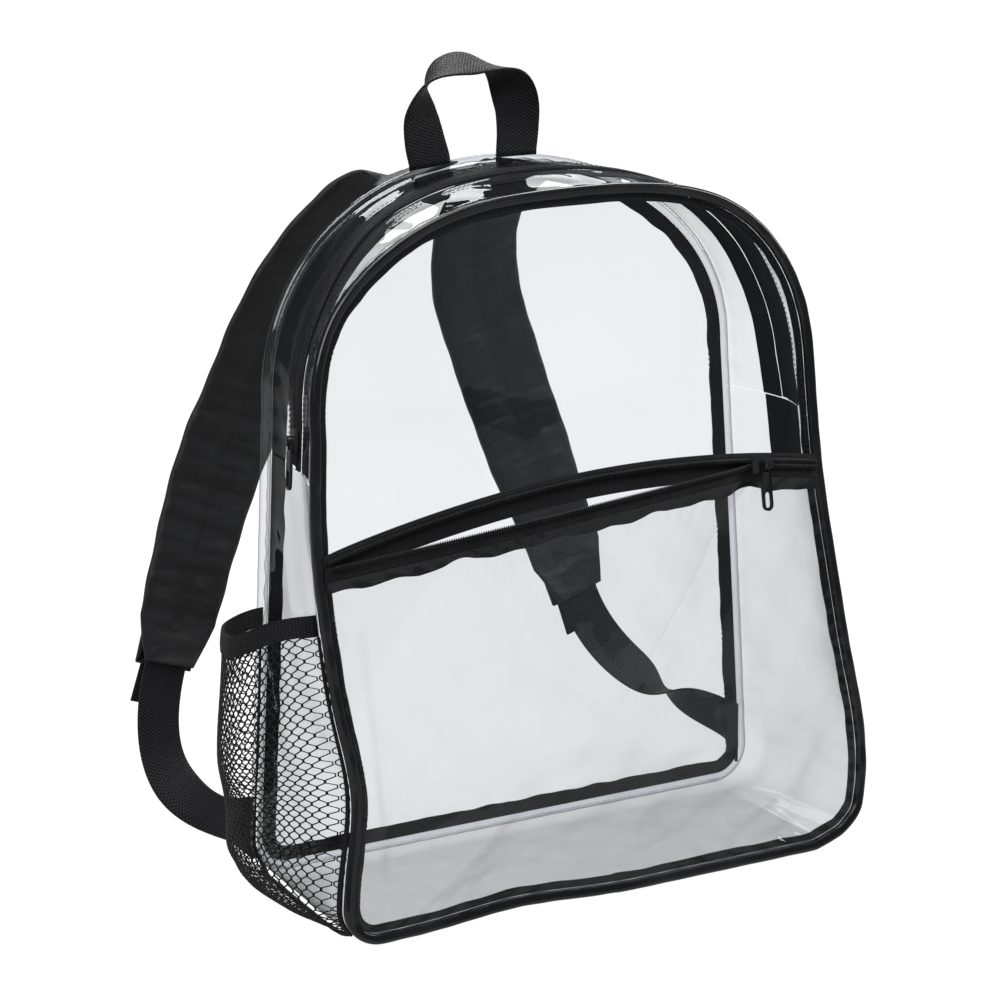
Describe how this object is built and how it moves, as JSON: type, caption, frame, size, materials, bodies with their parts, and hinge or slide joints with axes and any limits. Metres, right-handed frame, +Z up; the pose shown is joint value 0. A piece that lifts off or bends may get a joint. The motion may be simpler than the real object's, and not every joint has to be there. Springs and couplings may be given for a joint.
{
  "type": "clear backpack",
  "caption": "Clear plastic backpack with black bound seams, zipped arch top, zipped front pocket, mesh side pocket, padded shoulder straps and a webbing grab handle.",
  "frame": {"origin": "on the floor, under the middle of the part's box", "axes": "+Z up, the front pocket faces -Y, X runs to the right as seen from the front; the mesh pocket is on the -X side"},
  "size_m": [0.3702, 0.2152, 0.4374],
  "materials": {
    "clear_pvc": "glossy clear soft vinyl sheet",
    "black_piping": "glossy black piping under clear vinyl",
    "black_tape": "woven black tape",
    "zip_coil": "black nylon coil, slightly shiny",
    "black_metal": "black painted metal, satin",
    "black_mesh": "black knitted diamond net",
    "black_elastic": "ribbed black elastic",
    "black_webbing": "woven black webbing",
    "strap_padding": "padded black woven strap",
    "black_plastic": "moulded black plastic, satin"
  },
  "bodies": {
    "bag": {"front_piping": "black_piping", "back_piping": "clear_pvc", "front_seam_tape": "black_tape", "back_seam_tape": "black_tape", "front_panel": "clear_pvc", "back_panel": "clear_pvc", "lower_gusset": "clear_pvc", "zip_gusset_front": "clear_pvc", "zip_gusset_back": "clear_pvc", "main_zip_tape_front": "black_tape", "main_zip_tape_back": "black_tape", "main_zip_coil": "zip_coil", "pocket_zip_tape_upper": "black_tape", "pocket_zip_tape_lower": "black_tape", "pocket_zip_coil_upper": "zip_coil", "pocket_zip_coil_lower": "zip_coil", "pocket_panel": "clear_pvc", "pocket_zip_slider": "black_metal", "main_zip_slider": "black_metal", "mesh_pocket": "black_mesh", "mesh_pocket_elastic": "black_elastic", "grab_handle": "black_webbing", "handle_end_right": "black_webbing", "handle_end_left": "black_webbing", "shoulder_strap_left": "strap_padding", "adjuster_loop_left": "black_webbing", "strap_adjuster_left": "black_plastic", "lower_webbing_left": "black_webbing", "strap_tab_left": "black_webbing", "shoulder_strap_right": "strap_padding", "adjuster_loop_right": "black_webbing", "strap_adjuster_right": "black_plastic", "lower_webbing_right": "black_webbing", "strap_tab_right": "black_webbing"},
    "pocket_pull": {"pocket_zip_pull": "black_metal"},
    "main_pull": {"main_zip_pull": "black_metal"}
  },
  "joints": [
    {"name": "pocket_pull_hinge", "type": "hinge", "parent": "bag", "child": "pocket_pull", "pos_m": [0.12123, -0.07865, 0.22024], "axis": [-1, 0, 0], "range_deg": [0, 110]},
    {"name": "main_pull_hinge", "type": "hinge", "parent": "bag", "child": "main_pull", "pos_m": [-0.13425, -0.01702, 0.25266], "axis": [0.123, 0.9865, -0.1079], "range_deg": [0, 110]}
  ]
}
